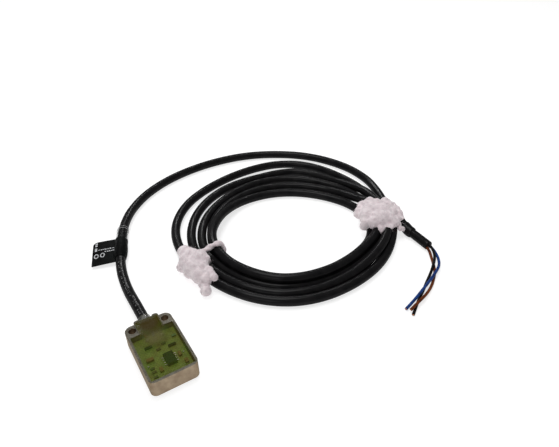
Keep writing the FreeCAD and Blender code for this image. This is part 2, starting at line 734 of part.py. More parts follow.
def make_label(doc):
    """The label's wrap round the cable, its flag and the clear sleeve beside it."""
    nodes = []
    bore = WRAP_BORE / 2
    for label, start, length, wall in (
        ("label_wrap", -LABEL["length"] / 2, WRAP_LENGTH, WRAP_WALL),
        ("label_sleeve", WRAP_LENGTH - LABEL["length"] / 2, CLEAR_SLEEVE_LENGTH, CLEAR_SLEEVE_WALL),
    ):
        place = label_placement(0, start, bore + WRAP_WALL + 0.05)
        place = place * FreeCAD.Placement(FreeCAD.Vector(), FreeCAD.Rotation(FreeCAD.Vector(0, 1, 0), 90))
        rods = []
        for part, radius in (("outside", bore + wall), ("bore", bore)):
            rod = doc.addObject("Part::Cylinder", f"{label}_{part}")
            rod.Radius = radius
            rod.Height = length
            rod.Placement = place
            rods.append(rod)
        tube = doc.addObject("Part::Cut", label)
        tube.Label = label
        tube.Base, tube.Tool = rods
        nodes.append(tube)
    flag = doc.addObject("Part::Box", "label_flag")
    flag.Label = "label_flag"
    flag.Length = LABEL["length"]
    flag.Width = LABEL["reach"]
    flag.Height = LABEL["thickness"]
    flag.Placement = label_placement(bore + WRAP_WALL, -LABEL["length"] / 2, LABEL["level"])
    nodes.append(flag)
    return nodes


def trimmed(shape, others):
    """The largest solid left of a shape once other shapes are cut from it."""
    for other in others:
        shape = shape.cut(other)
    return largest(shape)


def make_ties(doc, wrapped):
    """Each string tie: a band over the bundle and a tuft of frayed ends, cut to the cable under them."""
    nodes = []
    under = [node.Shape for node in wrapped]
    for side, tie in TIES.items():
        band = tie["band"]
        block = Part.makeBox(band["length"], band["width"], band["top"] - BAND_GAP,
                             FreeCAD.Vector(-band["length"] / 2, -band["width"] / 2, BAND_GAP))
        block.rotate(FreeCAD.Vector(), FreeCAD.Vector(0, 0, 1), band["across"])
        block.translate(FreeCAD.Vector(*band["centre"], 0))
        block = trimmed(block, under)
        tuft = Part.makeSphere(1.0)
        stretch = FreeCAD.Matrix()
        stretch.scale(*tie["tuft"]["radii"])
        tuft = tuft.transformGeometry(stretch)
        tuft.rotate(FreeCAD.Vector(), FreeCAD.Vector(0, 0, 1), tie["tuft"]["turn"])
        tuft.translate(FreeCAD.Vector(*tie["tuft"]["centre"]))
        tuft = trimmed(tuft, under + [block])
        nodes.append(add_shape(doc, f"tie_{side}_band", block))
        nodes.append(add_shape(doc, f"tie_{side}_tuft", tuft))
    return nodes


def check(doc, nodes):
    """Stops if an object failed or a node's shape isn't a valid solid."""
    for item in doc.Objects:
        if "Invalid" in item.State or "Error" in item.State:
            raise RuntimeError(f"{item.Name} failed: {item.State}")
    for node in nodes:
        if node.Shape.isNull() or not node.Shape.isValid() or not node.Shape.Solids:
            raise RuntimeError(f"{node.Label} has no valid solid")


def main():
    doc = FreeCAD.newDocument("proximity_sensor")
    add_sheet(doc)
    doc.recompute()
    housing = make_housing(doc)
    sealed = [make_sensing_plate(doc), make_ferrite_core(doc), make_coil_bobbin(doc), make_coil_winding(doc),
              make_circuit_board(doc), make_coil_pins(doc), make_sensor_chip(doc), make_chip_leads(doc)]
    sealed += make_components(doc)
    sealed.append(make_solder_joints(doc))
    sealed += make_core_ends(doc)
    entry = make_cable_entry(doc)
    doc.recompute()
    resin = make_potting_resin(doc, sealed + [entry])
    gland = make_cable_gland(doc, entry)
    coil = make_coil(doc)
    lead, tail, sleeve = make_free_cable(doc, coil)
    nodes = [housing, *sealed, entry, resin, gland, coil, lead, tail, sleeve]
    nodes += make_wires(doc)
    nodes += make_label(doc)
    nodes += make_ties(doc, [coil, tail, sleeve])
    doc.recompute()
    check(doc, nodes)
    os.makedirs("parts", exist_ok=True)
    for node in nodes:
        node.Shape.exportStep(f"parts/{node.Label}.step")
        print(f"{node.Label}: {len(node.Shape.Solids)} solids, {node.Shape.Volume:.1f} mm3")


main()
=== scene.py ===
import math
import random

import bmesh
import bpy
from mathutils import Matrix, Vector, noise


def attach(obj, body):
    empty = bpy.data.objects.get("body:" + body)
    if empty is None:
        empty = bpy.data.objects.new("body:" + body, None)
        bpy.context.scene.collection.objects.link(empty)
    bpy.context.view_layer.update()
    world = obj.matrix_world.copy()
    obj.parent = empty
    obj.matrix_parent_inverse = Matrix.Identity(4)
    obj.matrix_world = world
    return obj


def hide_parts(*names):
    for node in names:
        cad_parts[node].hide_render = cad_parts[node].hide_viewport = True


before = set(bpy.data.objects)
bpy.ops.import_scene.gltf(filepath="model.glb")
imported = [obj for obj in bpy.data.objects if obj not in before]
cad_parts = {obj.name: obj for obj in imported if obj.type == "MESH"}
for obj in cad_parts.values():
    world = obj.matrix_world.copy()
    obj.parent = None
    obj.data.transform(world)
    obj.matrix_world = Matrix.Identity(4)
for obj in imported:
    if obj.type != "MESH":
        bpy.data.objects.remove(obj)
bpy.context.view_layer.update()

MM = 0.001
UP = Vector((0, 0, 1))


def new_object(name, data):
    """A new object, linked into the scene."""
    made = bpy.data.objects.new(name, data)
    bpy.context.scene.collection.objects.link(made)
    return made


# ------------------------------------------------------------------ the camera

CAMERA_AT = Vector((-28.6, -137.3, 166.0)) * MM
CAMERA_HEADING = Vector((0.5262, 0.8504, 0))
CAMERA_DOWN = math.radians(36.7)
CAMERA_LENS = 32.33


def make_camera():
    """The viewpoint: above and in front, looking along the line from the sensor to the coil."""
    data = bpy.data.cameras.new("camera")
    data.lens = CAMERA_LENS
    data.sensor_width = 36
    data.clip_start, data.clip_end = 0.005, 10
    camera = new_object("camera", data)
    forward = CAMERA_HEADING.normalized() * math.cos(CAMERA_DOWN) - UP * math.sin(CAMERA_DOWN)
    camera.location = CAMERA_AT
    camera.rotation_euler = forward.to_track_quat("-Z", "Y").to_euler()
    bpy.context.scene.camera = camera


make_camera()

# ------------------------------------------------------- the cable's own route

CABLE_D = 4.8 * MM
CABLE_LOW = 2.45           # height of the cable's centre on the surface, in mm
NESTED = 6.4               # ... in the hollow between two cables on the surface
OVER = 7.3                 # ... straight across another cable
AXIS_Z = 4.0
GLAND_END = 19.65

LEAD_ROUTE = (
    (0.0, 14.3, AXIS_Z),
    (0.0, GLAND_END, AXIS_Z),
    (0.0, 30.0, 3.8),
    (-0.1, 43.0, CABLE_LOW),
    (1.7, 58.7, 2.9),
    (7.2, 74.7, 3.35),
    (13.8, 91.4, 2.9),
    (23.4, 105.5, CABLE_LOW),
    (38.5, 117.7, CABLE_LOW),
    (58.4, 125.8, CABLE_LOW),
    (82.3, 128.9, CABLE_LOW),
    (106.8, 125.8, CABLE_LOW),
    (127.8, 115.6, CABLE_LOW),
    (144.3, 101.0, CABLE_LOW),
    (155.0, 80.6, CABLE_LOW),
    (157.2, 62.0, CABLE_LOW),
    (154.2, 48.0, CABLE_LOW),
)
TAIL_ROUTE = (
    (141.6, 17.4, 7.5),
    (141.5, 12.6, 5.0),
    (141.6, 7.8, 3.0),
    (142.3, 2.4, CABLE_LOW),
    (142.0, -7.4, CABLE_LOW),
)

# Each turn of the coil, from the right-hand tie clockwise: degrees past the tie, distance from the coil's
# centre and height.  The turns are tight at both ties and fan out at the back, where nothing holds them.
COIL_CENTRE = Vector((88.5, 42.9, 0))
RIGHT_TIE = -32.0          # direction of the right-hand tie from the coil's centre, degrees
LEFT_TIE_AFTER = 145.0     # the left-hand tie, degrees on from it
LIFT_AT_TIE = 1.15         # the string passes under the turns
LIFT_WIDTH = 11.0          # the reach of that lift along the turns, degrees
TURN_START = 24            # the first turn begins this many degrees before the tie
TURN_STEP = 12.0           # degrees between the spline's control points
LOW = CABLE_LOW
TURNS = (
    ((-24, 61.0, LOW), (-12, 58.2, LOW), (-3, 56.7, LOW), (6, 55.5, LOW), (14, 54.4, LOW),
     (30, 53.1, LOW), (50, 52.2, LOW), (65, 52.8, LOW), (80, 54.0, LOW), (98, 54.7, LOW),
     (126, 54.6, LOW), (143, 55.8, LOW), (160, 57.9, LOW), (178, 60.8, LOW), (200, 62.2, LOW),
     (222, 62.2, LOW), (240, 64.2, LOW), (256, 67.4, LOW), (271, 69.8, LOW), (288, 66.6, LOW),
     (303, 62.2, LOW)),
    ((-24, 56.2, LOW), (-12, 53.6, LOW), (0, 51.5, LOW), (12, 48.8, LOW), (32, 45.0, LOW),
     (54, 43.6, LOW), (72, 44.1, LOW), (96, 45.6, LOW), (130, 45.5, LOW), (145, 46.5, LOW),
     (178, 46.4, LOW), (215, 46.2, LOW), (240, 48.5, LOW), (272, 50.9, LOW), (300, 50.6, LOW)),
    ((-24, 51.6, LOW), (-12, 49.6, 3.0), (0, 47.8, 6.2), (14, 46.2, NESTED), (25, 43.4, NESTED),
     (45, 41.7, NESTED), (67, 42.1, NESTED), (96, 43.8, NESTED), (117, 43.2, NESTED), (143, 43.2, NESTED),
     (165, 41.2, 7.2), (180, 38.8, 6.6), (195, 37.6, 5.3), (210, 36.8, 4.0), (224, 36.4, 2.8),
     (244, 35.6, LOW), (264, 35.3, LOW), (286, 36.1, LOW), (306, 38.3, LOW)),
    ((-24, 43.8, LOW), (-12, 44.2, LOW), (0, 44.6, LOW), (12, 43.8, LOW), (20, 42.2, LOW),
     (34, 40.1, LOW), (56, 38.8, LOW), (72, 39.3, LOW), (96, 41.0, LOW), (120, 40.9, LOW),
     (145, 41.9, LOW), (163, 41.4, LOW), (180, 41.3, LOW), (225, 41.4, LOW), (272, 42.8, LOW),
     (304, 45.0, LOW), (324, 46.6, 4.6)),
    ((-24, 48.6, OVER), (-12, 51.4, 7.9), (0, 53.4, NESTED), (14, 51.4, NESTED), (32, 48.9, 5.2),
     (54, 47.9, 3.8), (80, 49.3, 3.0), (96, 50.1, 2.8), (130, 50.1, 2.8), (145, 51.2, 2.8),
     (162, 51.6, LOW), (200, 52.9, LOW), (226, 54.1, LOW), (250, 54.8, LOW), (262, 57.3, LOW),
     (278, 60.4, LOW), (292, 56.6, LOW), (304, 55.2, 3.0), (324, 54.8, 6.6)),
    ((-22, 53.6, OVER), (-12, 55.0, OVER)),
)


def smooth(u):
    """A share that starts and ends gently."""
    return u * u * (3 - 2 * u)


def coil_point(degrees, radius, height):
    """A point of the coil, lifted where a tie's string passes under it."""
    direction = math.radians(RIGHT_TIE - degrees)
    lift = sum(math.exp(-((degrees - tie) / LIFT_WIDTH) ** 2) for tie in (-360, 0, LEFT_TIE_AFTER, 360))
    offset = Vector((math.cos(direction), math.sin(direction), 0)) * radius
    return (COIL_CENTRE + offset + UP * (height + LIFT_AT_TIE * lift))[:]


def distance_between(before, a, b, after, u):
    """The distance from the coil's centre at share u of the way from station a to b, on a smooth curve."""
    span = b[0] - a[0]
    slope_a = (b[1] - before[1]) / (b[0] - before[0])
    slope_b = (after[1] - a[1]) / (after[0] - a[0])
    return ((2 * u**3 - 3 * u**2 + 1) * a[1] + (u**3 - 2 * u**2 + u) * span * slope_a
            + (3 * u**2 - 2 * u**3) * b[1] + (u**3 - u**2) * span * slope_b)


def coil_points():
    """The coil's turns as control points of the cable's spline, evenly spaced between the stations."""
    stations = [(360 * turn + degrees, *rest) for turn, row in enumerate(TURNS) for degrees, *rest in row]
    last = len(stations) - 1
    points = []
    for step in range(int((stations[last][0] + TURN_START) / TURN_STEP) + 1):
        at = step * TURN_STEP - TURN_START
        i = max(k for k in range(last) if stations[k][0] <= at)
        before, a, b, after = (stations[max(0, min(last, i + k))] for k in (-1, 0, 1, 2))
        u = (at - a[0]) / (b[0] - a[0])
        height = a[2] + (b[2] - a[2]) * smooth(u)
        degrees = (at + TURN_START) % 360 - TURN_START
        points.append(coil_point(degrees, distance_between(before, a, b, after, u), height))
    return points


def nurbs_line(name, route, resolution):
    """The smooth line of a route: a NURBS spline with the route's points as its control points."""
    curve = bpy.data.curves.new(name, "CURVE")
    curve.dimensions = "3D"
    spline = curve.splines.new("NURBS")
    spline.points.add(len(route) - 1)
    for point, place in zip(spline.points, route):
        point.co = (*(Vector(place) * MM), 1)
    spline.order_u = 3
    spline.use_endpoint_u = True
    spline.resolution_u = resolution
    holder = new_object(name, curve)
    mesh = bpy.data.meshes.new_from_object(holder)
    line = [v.co.copy() for v in mesh.vertices]
    bpy.data.objects.remove(holder)
    bpy.data.curves.remove(curve)
    bpy.data.meshes.remove(mesh)
    return line


cable_line = nurbs_line("cable_line", [*LEAD_ROUTE, *coil_points(), *TAIL_ROUTE], 6)

# ------------------------------------------------------------------- materials


def new_material(name, base, roughness, **sockets):
    """A Principled material with its uniform values set on the shader's own sockets."""
    material = bpy.data.materials.new(name)
    material.use_nodes = True
    set_up(shader_of(material), Base_Color=(*base, 1), Roughness=roughness, **sockets)
    return material


def shader_of(material):
    return material.node_tree.nodes["Principled BSDF"]


def set_up(made, **settings):
    """Sets a node's sockets, or else its own settings, by name."""
    for key, value in settings.items():
        socket = key.replace("_", " ")
        if socket in made.inputs:
            made.inputs[socket].default_value = value
        else:
            setattr(made, key, value)
    return made


def node(material, kind, **settings):
    """A new shader node."""
    return set_up(material.node_tree.nodes.new(kind), **settings)


def link(material, source, output, target, socket):
    material.node_tree.links.new(source.outputs[output], target.inputs[socket])


def coordinates(material, stretch, uv):
    """Object or UV coordinates, in metres, scaled along each axis."""
    source = node(material, "ShaderNodeTexCoord")
    mapping = node(material, "ShaderNodeMapping", Scale=stretch)
    link(material, source, "UV" if uv else "Object", mapping, "Vector")
    return mapping


def noise_field(material, size, detail, stretch=(1, 1, 1), uv=False, distortion=0.0):
    """Noise whose features are about `size` metres."""
    place = coordinates(material, stretch, uv)
    field = node(material, "ShaderNodeTexNoise", Scale=1 / size, Detail=detail, Distortion=distortion)
    link(material, place, "Vector", field, "Vector")
    return field


def ramp(material, source, output, stops):
    """A colour ramp with (position, colour) stops."""
    made = node(material, "ShaderNodeValToRGB")
    link(material, source, output, made, "Fac")
    elements = made.color_ramp.elements
    while len(elements) < len(stops):
        elements.new(0.5)
    for element, (position, colour) in zip(elements, stops):
        element.position = position
        element.color = (*colour, 1)
    return made


def grey(value):
    """A neutral colour."""
    return (value, value, value)


def vary_colour(material, size, detail, low, high, start=0.35, end=0.65):
    """The base colour runs between two colours with noise."""
    colours = ramp(material, noise_field(material, size, detail), "Fac", ((start, low), (end, high)))
    link(material, colours, "Color", shader_of(material), "Base Color")
    return colours


def vary_roughness(material, size, detail, low, high):
    """The roughness runs between two values with noise."""
    spread = node(material, "ShaderNodeMapRange", From_Min=0.3, From_Max=0.7, To_Min=low, To_Max=high)
    link(material, noise_field(material, size, detail), "Fac", spread, "Value")
    link(material, spread, "Result", shader_of(material), "Roughness")


def add_bump(material, size, detail, height, strength, *stretched):
    """Noise as bump of a real height in metres, on top of any bump that is there."""
    bump = node(material, "ShaderNodeBump", Strength=strength, Distance=height)
    link(material, noise_field(material, size, detail, *stretched), "Fac", bump, "Height")
    normal = shader_of(material).inputs["Normal"]
    if normal.is_linked:
        material.node_tree.links.new(normal.links[0].from_socket, bump.inputs["Normal"])
    material.node_tree.links.new(bump.outputs["Normal"], normal)


def multiply(material, first, second):
    """The base colour is two colour fields multiplied."""
    tone = node(material, "ShaderNodeMixRGB", blend_type="MULTIPLY", Fac=1.0)
    link(material, first, "Color", tone, "Color1")
    link(material, second, "Color", tone, "Color2")
    link(material, tone, "Color", shader_of(material), "Base Color")


def die_casting():
    """Nickel-plated zinc: cast grain, dull patches and faint streaks, with a painted highlight on sloping
    faces and edges and painted shade on the tops.
    """
    material = new_material("die_casting", (0.32, 0.24, 0.17), 0.36, Metallic=0.9,
                            Specular_Tint=(0.4, 0.38, 0.34, 1))
    patches = vary_colour(material, 4 * MM, 4, (0.26, 0.196, 0.135), (0.37, 0.292, 0.205))
    # Painted light by facing: sloping faces and edges are lightened as a painted highlight, upward faces
    # darkened as painted shade.
    normal = node(material, "ShaderNodeSeparateXYZ")
    link(material, node(material, "ShaderNodeNewGeometry"), "Normal", normal, "Vector")
    painted_slope_highlight, painted_bevel_highlight, painted_top_shade = (1.9, 2.1, 2.3), (1.5, 1.7, 1.9), (0.30, 0.36, 0.42)
    painted_light_by_facing = ramp(material, normal, "Z", ((0.1, grey(1.0)), (0.35, painted_slope_highlight), (0.80, painted_bevel_highlight), (0.95, painted_top_shade)))
    multiply(material, patches, painted_light_by_facing)
    vary_roughness(material, 1.5 * MM, 3, 0.34, 0.52)
    add_bump(material, 0.35 * MM, 4, 0.02 * MM, 0.5)
    add_bump(material, 0.8 * MM, 2, 0.01 * MM, 0.4, (1, 0.08, 1))
    return material


def moulded(name, low, high, roughness, specular=0.5):
    """Plain moulded plastic or ceramic with a slight mottle and grain."""
    material = new_material(name, low, roughness, Specular_IOR_Level=specular)
    vary_colour(material, 1.2 * MM, 3, low, high)
    vary_roughness(material, 0.7 * MM, 3, roughness * 0.85, roughness * 1.2)
    add_bump(material, 0.3 * MM, 3, 0.015 * MM, 0.5)
    return material


def metal(name, low, high, roughness):
    """Solder, tin or copper: bright metal with dull spots."""
    material = new_material(name, high, roughness, Metallic=1.0)
    vary_colour(material, 0.6 * MM, 4, low, high)
    vary_roughness(material, 0.4 * MM, 3, roughness * 0.8, roughness * 1.5)
    add_bump(material, 0.25 * MM, 3, 0.01 * MM, 0.5)
    return material


def solder_mask():
    """The board's green mask: lighter lines for its copper runs, soft clouding and a slight grain."""
    material = new_material("solder_mask", (0.05, 0.14, 0.03), 0.35, Specular_IOR_Level=0.1)
    runs = node(material, "ShaderNodeTexBrick", Scale=1 / (3.1 * MM), Color1=(0.120, 0.150, 0.020, 1),
                Color2=(0.102, 0.132, 0.018, 1), Mortar=(0.150, 0.195, 0.030, 1), Mortar_Size=0.06)
    link(material, coordinates(material, (1, 1, 1), False), "Vector", runs, "Vector")
    clouds = noise_field(material, 2.5 * MM, 2)
    multiply(material, runs, ramp(material, clouds, "Fac", ((0.3, grey(0.75)), (0.7, grey(1.15)))))
    add_bump(material, 0.5 * MM, 2, 0.01 * MM, 0.5)
    return material


def round_spot(material, at_y, width, length):
    """A soft round field on the sensor's centre line, in mm: 1 in the middle and 0 at the rim."""
    place = node(material, "ShaderNodeTexCoord")
    shift = node(material, "ShaderNodeMapping", vector_type="POINT", Location=(0, -at_y / length, 0),
                 Scale=(1 / (width * MM), 1 / (length * MM), 0))
    link(material, place, "Object", shift, "Vector")
    spot = node(material, "ShaderNodeTexGradient", gradient_type="SPHERICAL")
    link(material, shift, "Vector", spot, "Vector")
    soft = node(material, "ShaderNodeMapRange", interpolation_type="SMOOTHSTEP", From_Max=0.75)
    link(material, spot, "Fac", soft, "Value")
    return soft


def clear_resin():
    """Olive potting resin: clear over the board, hazy at the neck and brown where the cable's cores run."""
    material = new_material("clear_resin", (0.10, 0.12, 0.014), 0.25, Alpha=0.2, IOR=1.5,
                            Specular_IOR_Level=0.07)
    cloud = noise_field(material, 5 * MM, 3, distortion=0.6)
    tints = ramp(material, cloud, "Fac", ((0.34, (0.120, 0.090, 0.014)), (0.46, (0.110, 0.115, 0.014)),
                                          (0.60, (0.090, 0.150, 0.014))))
    haze = round_spot(material, 5.0, 7.0, 6.0)
    brown = round_spot(material, 12.6, 9.0, 8.0)
    colour = tints
    for spot, tint in ((haze, (0.150, 0.140, 0.045, 1)), (brown, (0.050, 0.035, 0.005, 1))):
        mix = node(material, "ShaderNodeMixRGB", blend_type="MIX", Color2=tint)
        link(material, spot, "Result", mix, "Fac")
        link(material, colour, "Color", mix, "Color1")
        colour = mix
    link(material, colour, "Color", shader_of(material), "Base Color")
    densest = node(material, "ShaderNodeMath", operation="MAXIMUM")
    for socket, (spot, denser) in enumerate(((haze, 0.38), (brown, 0.74))):
        density = node(material, "ShaderNodeMath", operation="MULTIPLY_ADD")
        link(material, spot, "Result", density, 0)
        density.inputs[1].default_value = denser
        density.inputs[2].default_value = 0.14
        link(material, density, "Value", densest, socket)
    link(material, densest, "Value", shader_of(material), "Alpha")
    vary_roughness(material, 3 * MM, 3, 0.2, 0.36)
    add_bump(material, 4 * MM, 2, 0.08 * MM, 0.6)
    return material


def cloudy_collar():
    """The resin collar at the cable's exit: grey, cloudy and half clear."""
    material = new_material("cloudy_collar", (0.12, 0.12, 0.10), 0.3, Alpha=0.62, Coat_Weight=0.2)
    vary_colour(material, 1.4 * MM, 4, (0.07, 0.07, 0.058), (0.22, 0.215, 0.19))
    vary_roughness(material, 1 * MM, 3, 0.15, 0.4)
    add_bump(material, 0.9 * MM, 3, 0.08 * MM, 0.6)
    return material


def jacket():
    """Black PVC: fine lines along the cable, faint dust and a thin sheen."""
    low, high = (0.004, 0.004, 0.0045), (0.009, 0.0085, 0.009)
    material = new_material("jacket_pvc", low, 0.6, Specular_IOR_Level=0.03, Coat_Weight=0.15,
                            Coat_Roughness=0.17)
    vary_colour(material, 5 * MM, 5, low, high)
    vary_roughness(material, 2.2 * MM, 4, 0.5, 0.7)
    add_bump(material, 1.0, 2, 0.02 * MM, 0.5, (90, 6, 1), True)
    add_bump(material, 0.5 * MM, 3, 0.008 * MM, 0.5)
    shader = shader_of(material)
    material.node_tree.links.new(shader.inputs["Normal"].links[0].from_socket, shader.inputs["Coat Normal"])
    return material


def insulation(name, low, high):
    """A wire's thin PVC insulation."""
    material = new_material(name, low, 0.45, Specular_IOR_Level=0.06)
    vary_colour(material, 3 * MM, 3, low, high)
    vary_roughness(material, 1.5 * MM, 3, 0.38, 0.55)
    add_bump(material, 0.5 * MM, 3, 0.01 * MM, 0.5)
    return material


def label_film():
    """Black printed film: satin, with soft creases and rubbed spots."""
    material = new_material("label_film", (0.002, 0.002, 0.002), 0.5, Specular_IOR_Level=0.03)
    vary_colour(material, 6 * MM, 4, (0.002, 0.002, 0.002), (0.005, 0.006, 0.006))
    vary_roughness(material, 2 * MM, 4, 0.4, 0.6)
    add_bump(material, 6 * MM, 2, 0.12 * MM, 0.6)
    return material


def clear_film():
    """The thin clear sleeve next to the label."""
    material = new_material("clear_film", (0.01, 0.01, 0.01), 0.25, Alpha=0.22, Specular_IOR_Level=0.1)
    vary_colour(material, 2.5 * MM, 3, (0.004, 0.004, 0.005), (0.016, 0.016, 0.017))
    add_bump(material, 1.6 * MM, 2, 0.12 * MM, 0.7, (1, 1, 2.5))
    return material


def print_ink(name, colour):
    """Pale print, slightly broken where the film is rubbed."""
    material = new_material(name, colour, 0.5)
    vary_colour(material, 0.5 * MM, 3, [c * 0.45 for c in colour], colour, 0.3, 0.5)
    vary_roughness(material, 0.5 * MM, 2, 0.4, 0.6)
    add_bump(material, 0.2 * MM, 2, 0.005 * MM, 0.4)
    return material


def cotton():
    """Soft white string with a faint pink-grey tint in its hollows."""
    material = new_material("cotton", (0.78, 0.67, 0.70), 0.92, Sheen_Weight=0.5, Sheen_Roughness=0.5,
                            Subsurface_Weight=0.12, Subsurface_Scale=1.0,
                            Subsurface_Radius=(0.6 * MM, 0.5 * MM, 0.5 * MM))
    vary_colour(material, 2.2 * MM, 5, (0.68, 0.58, 0.61), (0.86, 0.77, 0.79))
    add_bump(material, 0.35 * MM, 4, 0.15 * MM, 0.7)
    add_bump(material, 0.12 * MM, 2, 0.05 * MM, 0.6)
    return material


DIE_CASTING = die_casting()
FACE_PLASTIC = moulded("face_plastic", (0.028, 0.030, 0.033), (0.042, 0.044, 0.048), 0.55)
FERRITE = moulded("ferrite", (0.03, 0.03, 0.032), (0.055, 0.053, 0.055), 0.6)
BOBBIN = moulded("bobbin", (0.55, 0.50, 0.38), (0.68, 0.62, 0.50), 0.45)
COPPER = metal("copper", (0.60, 0.22, 0.08), (0.80, 0.38, 0.18), 0.3)
TIN = metal("tin", (0.12, 0.11, 0.08), (0.26, 0.25, 0.19), 0.4)
BOARD = solder_mask()
PACKAGE = moulded("package", (0.004, 0.003, 0.002), (0.009, 0.007, 0.004), 0.6, 0.05)
CAPACITOR = moulded("capacitor", (0.11, 0.08, 0.018), (0.16, 0.11, 0.025), 0.5, 0.05)
RESISTOR = moulded("resistor", (0.045, 0.050, 0.012), (0.065, 0.072, 0.018), 0.5, 0.05)
LED = moulded("led", (0.05, 0.12, 0.03), (0.08, 0.17, 0.05), 0.3, 0.1)
RESIN = clear_resin()
COLLAR = cloudy_collar()
JACKET = jacket()
BROWN = insulation("brown_pvc", (0.07, 0.016, 0.005), (0.17, 0.042, 0.010))
BLUE = insulation("blue_pvc", (0.010, 0.028, 0.12), (0.018, 0.060, 0.24))
BLACK = insulation("black_pvc", (0.003, 0.003, 0.003), (0.007, 0.006, 0.006))
LABEL_FILM = label_film()
CLEAR_FILM = clear_film()
INK = print_ink("ink", (0.55, 0.56, 0.58))
FAINT_INK = print_ink("faint_ink", (0.11, 0.11, 0.11))
COTTON = cotton()
# Pale grey rings on the clear sleeve's edges: a painted highlight.
PAINTED_RIM_HIGHLIGHT = moulded("painted_rim_highlight", (0.30, 0.30, 0.305), (0.50, 0.50, 0.51), 0.3)

CAD_MATERIALS = {
    "housing": DIE_CASTING, "sensing_face_plate": FACE_PLASTIC, "ferrite_core": FERRITE,
    "coil_bobbin": BOBBIN, "coil_winding": COPPER, "coil_pins": TIN, "circuit_board": BOARD,
    "sensor_chip": PACKAGE, "chip_leads": TIN, "output_transistor": CAPACITOR,
    "protection_diodes": PACKAGE, "chip_capacitors": CAPACITOR, "chip_resistors": RESISTOR,
    "status_led": LED, "solder_joints": TIN, "core_brown": BROWN, "core_blue": BLUE,
    "core_black": BLACK, "cable_gland": COLLAR,
}


def round_edges(part, name, width, angle):
    """A small bevel on every edge sharper than an angle in degrees."""
    bevel = part.modifiers.new(name, "BEVEL")
    bevel.width = width
    bevel.segments = 3
    bevel.limit_method = "ANGLE"
    bevel.angle_limit = math.radians(angle)


def dress_cad_nodes():
    """The CAD nodes that show keep their shape and get their real material and slightly broken edges."""
    for name, material in CAD_MATERIALS.items():
        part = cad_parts[name]
        part.data.materials.clear()
        part.data.materials.append(material)
    round_edges(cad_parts["housing"], "broken_edges", 0.32 * MM, 40)
    round_edges(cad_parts["cable_gland"], "soft_rim", 0.35 * MM, 50)


dress_cad_nodes()

# --------------------------------------------------------------- mesh building


def add_piece(name, mesh, material, replaces=()):
    """A new piece of the object: linked, dressed, shaded smooth and riding on the one body."""
    piece = new_object(name, mesh)
    mesh.materials.append(material)
    for face in mesh.polygons:
        face.use_smooth = True
    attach(piece, "root")
    if replaces:
        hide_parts(*replaces)
    return piece


def mesh_from(bm, name):
    """A mesh from a bmesh, its normals facing outwards."""
    bmesh.ops.recalc_face_normals(bm, faces=bm.faces)
    mesh = bpy.data.meshes.new(name)
    bm.to_mesh(mesh)
    bm.free()
    return mesh


def merge(bm, other):
    """Adds one bmesh to another and frees it."""
    part = bpy.data.meshes.new("part")
    other.to_mesh(part)
    other.free()
    bm.from_mesh(part)
    bpy.data.meshes.remove(part)


def keep_above(bm):
    """Nothing reaches below the table."""
    for vert in bm.verts:
        vert.co.z = max(vert.co.z, 0.03 * MM)


def frames_along(line, closed=False):
    """At each point of a line: its place, and two directions across it that never twist suddenly."""
    count = len(line)
    found = []
    side = None
    for i in range(count):
        if closed:
            ahead = line[(i + 1) % count] - line[i - 1]
        else:
            ahead = line[min(i + 1, count - 1)] - line[max(i - 1, 0)]
        ahead.normalize()
        if side is None:
            side = ahead.cross(UP)
            if side.length < 1e-6:
                side = Vector((1, 0, 0))
        side = (side - ahead * side.dot(ahead)).normalized()
        found.append((line[i], side, ahead.cross(side).normalized(), ahead))
    return found


def reach_along(line):
    """How far along a line each of its points is."""
    reach = [0.0]
    for a, b in zip(line, line[1:]):
        reach.append(reach[-1] + (b - a).length)
    return reach


def tube(line, radius, sides, closed=False, caps=True):
    """A tube whose radius is a number, or a function of (share along, angle); its V runs in metres."""
    bm = bmesh.new()
    uv = bm.loops.layers.uv.new("UVMap")
    reach = reach_along(line)
    rings = []
    for i, (at, side, other, _) in enumerate(frames_along(line, closed)):
        ring = []
        for k in range(sides):
            angle = 2 * math.pi * k / sides
            r = radius(reach[i] / reach[-1], angle) if callable(radius) else radius
            ring.append(bm.verts.new(at + (side * math.cos(angle) + other * math.sin(angle)) * r))
        rings.append(ring)
    spans = len(rings) if closed else len(rings) - 1
    for i in range(spans):
        near, far = rings[i], rings[(i + 1) % len(rings)]
        for k in range(sides):
            n = (k + 1) % sides
            face = bm.faces.new((near[k], near[n], far[n], far[k]))
            far_v = reach[min(i + 1, len(reach) - 1)]
            corners = ((k, reach[i]), (k + 1, reach[i]), (k + 1, far_v), (k, far_v))
            for loop, (u, v) in zip(face.loops, corners):
                loop[uv].uv = (u / sides, v)
    if caps and not closed:
        bm.faces.new(list(reversed(rings[0])))
        bm.faces.new(rings[-1])
    return bm


def resampled(line, step):
    """The same line with evenly spaced points."""
    reach = reach_along(line)
    count = max(2, round(reach[-1] / step))
    found = []
    i = 0
    for k in range(count + 1):
        at = reach[-1] * k / count
        while i < len(line) - 2 and reach[i + 1] < at:
            i += 1
        span = reach[i + 1] - reach[i]
        found.append(line[i].lerp(line[i + 1], (at - reach[i]) / span if span else 0))
    return found


def length_of(line):
    """The length of a line of points."""
    return sum((b - a).length for a, b in zip(line, line[1:]))


def nearest_index(line, place):
    """Which of a line's points is nearest to a place."""
    return min(range(len(line)), key=lambda i: (line[i] - place).length)

# --------------------------------------------------------- the cable and wires

CABLE_R = CABLE_D / 2
HELD_TO = 6.0 * MM         # the first stretch of the cable sits a hair tighter, inside the collar
HELD_R = 2.34 * MM
CUT_EDGE = 0.25 * MM       # the last stretch before the cut
CABLE_STEP = 1.7 * MM


def cable_radius(total):
    """The jacket is slightly uneven, a hair thinner inside the collar, and broken at the cut edge."""
    def radius(share, angle):
        along = share * total
        if along < HELD_TO:
            return HELD_R
        wave = noise.noise(Vector((along / (7 * MM), 0.3, angle * 0.2)))
        cut = 0.18 * MM if total - along < 0.1 * MM else 0
        return CABLE_R * (1 + 0.012 * wave) - cut
    return radius


